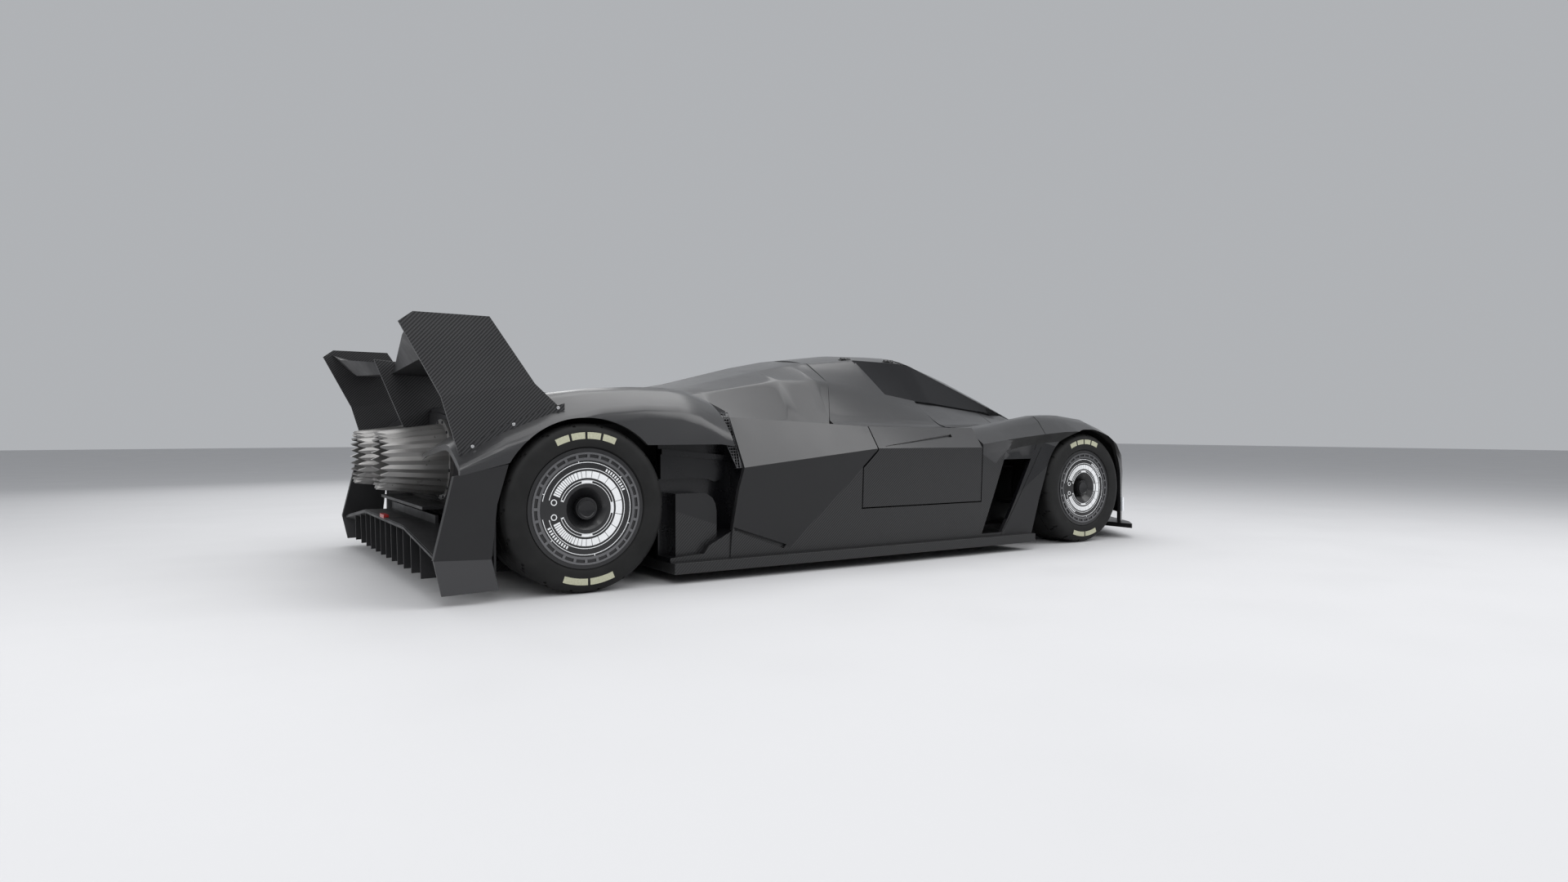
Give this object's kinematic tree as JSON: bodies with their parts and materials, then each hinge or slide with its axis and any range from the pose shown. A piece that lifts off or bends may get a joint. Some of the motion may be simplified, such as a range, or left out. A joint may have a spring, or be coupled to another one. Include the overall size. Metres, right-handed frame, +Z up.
{
  "type": "track hypercar",
  "caption": "Low closed track car with upright tail fins linked by a V-shaped wing, gull-wing doors, steered front wheels and freely turning disc wheels.",
  "frame": {"origin": "on the ground under the middle of the car's length and width", "axes": "+X towards the nose, +Y towards the car's left side, +Z up"},
  "size_m": [4.3799, 2.04, 1.005],
  "materials": {
    "body_black": "gloss",
    "carbon": "satin",
    "glass_dark": "gloss",
    "satin_grey": "satin",
    "nozzle_metal": "brushed",
    "lamp_red": "gloss",
    "lamp_white": "gloss",
    "engine_metal": "cast",
    "steel": "satin",
    "alloy": "machined",
    "wheel_dark": "satin",
    "tyre": "matte",
    "seat_shell": "matte",
    "soft_black": "matte"
  },
  "bodies": {
    "chassis": {"floor_tray": "carbon", "front_splitter": "carbon", "chassis_tub": "carbon", "nose_cover": "body_black", "windscreen": "glass_dark", "roof_panel": "body_black", "engine_cover": "body_black", "centre_fin": "carbon", "side_pod_left": "body_black", "side_pod_right": "body_black", "rear_fender_left": "body_black", "rear_fender_right": "body_black", "front_fender_left": "body_black", "front_fender_right": "body_black", "outer_fins": "carbon", "rear_wing": "body_black", "rear_corners": "satin_grey", "tail_panel": "satin_grey", "exhaust_nozzles": "nozzle_metal", "diffuser": "carbon", "tail_lamps": "lamp_red", "headlamps": "lamp_white", "engine_block": "engine_metal", "rear_suspension": "steel", "rear_uprights": "alloy", "front_suspension": "steel", "front_grilles": "satin_grey", "seats": "seat_shell", "dashboard": "soft_black"},
    "door_left": {"door_left": "body_black", "window_left": "glass_dark"},
    "door_right": {"door_right": "body_black", "window_right": "glass_dark"},
    "knuckle_left": {"front_knuckle_left": "alloy"},
    "knuckle_right": {"front_knuckle_right": "alloy"},
    "steering_wheel": {"steering_wheel": "soft_black"},
    "wheel_front_left": {"wheel_front_left": "wheel_dark", "tyre_front_left": "tyre"},
    "wheel_front_right": {"wheel_front_right": "wheel_dark", "tyre_front_right": "tyre"},
    "wheel_rear_left": {"wheel_rear_left": "wheel_dark", "tyre_rear_left": "tyre"},
    "wheel_rear_right": {"wheel_rear_right": "wheel_dark", "tyre_rear_right": "tyre"}
  },
  "joints": [
    {"name": "door_left_hinge", "type": "hinge", "parent": "chassis", "child": "door_left", "pos_m": [0.15, 0.28, 0.967], "axis": [1, 0, 0], "range_deg": [0, 68]},
    {"name": "door_right_hinge", "type": "hinge", "parent": "chassis", "child": "door_right", "pos_m": [0.15, -0.28, 0.967], "axis": [-1, 0, 0], "range_deg": [0, 68]},
    {"name": "steer_left", "type": "hinge", "parent": "chassis", "child": "knuckle_left", "pos_m": [1.232, 0.8, 0.289], "axis": [0, 0, 1], "range_deg": [-20, 20]},
    {"name": "steer_right", "type": "hinge", "parent": "chassis", "child": "knuckle_right", "pos_m": [1.232, -0.8, 0.289], "axis": [0, 0, 1], "range_deg": [-20, 20]},
    {"name": "steering_wheel_turn", "type": "hinge", "parent": "chassis", "child": "steering_wheel", "pos_m": [0.6, 0.23, 0.56], "axis": [-1, 0, 0], "range_deg": [-240, 240]},
    {"name": "wheel_front_left_spin", "type": "hinge", "parent": "knuckle_left", "child": "wheel_front_left", "pos_m": [1.232, 0.811, 0.289], "axis": [0, 1, 0], "continuous": true},
    {"name": "wheel_front_right_spin", "type": "hinge", "parent": "knuckle_right", "child": "wheel_front_right", "pos_m": [1.232, -0.811, 0.289], "axis": [0, 1, 0], "continuous": true},
    {"name": "wheel_rear_left_spin", "type": "hinge", "parent": "chassis", "child": "wheel_rear_left", "pos_m": [-1.558, 0.855, 0.311], "axis": [0, 1, 0], "continuous": true},
    {"name": "wheel_rear_right_spin", "type": "hinge", "parent": "chassis", "child": "wheel_rear_right", "pos_m": [-1.558, -0.855, 0.311], "axis": [0, 1, 0], "continuous": true}
  ],
  "couplings": [
    {"joint": "steer_right", "follows": "steer_left", "ratio": 1},
    {"joint": "steering_wheel_turn", "follows": "steer_left", "ratio": 12}
  ]
}
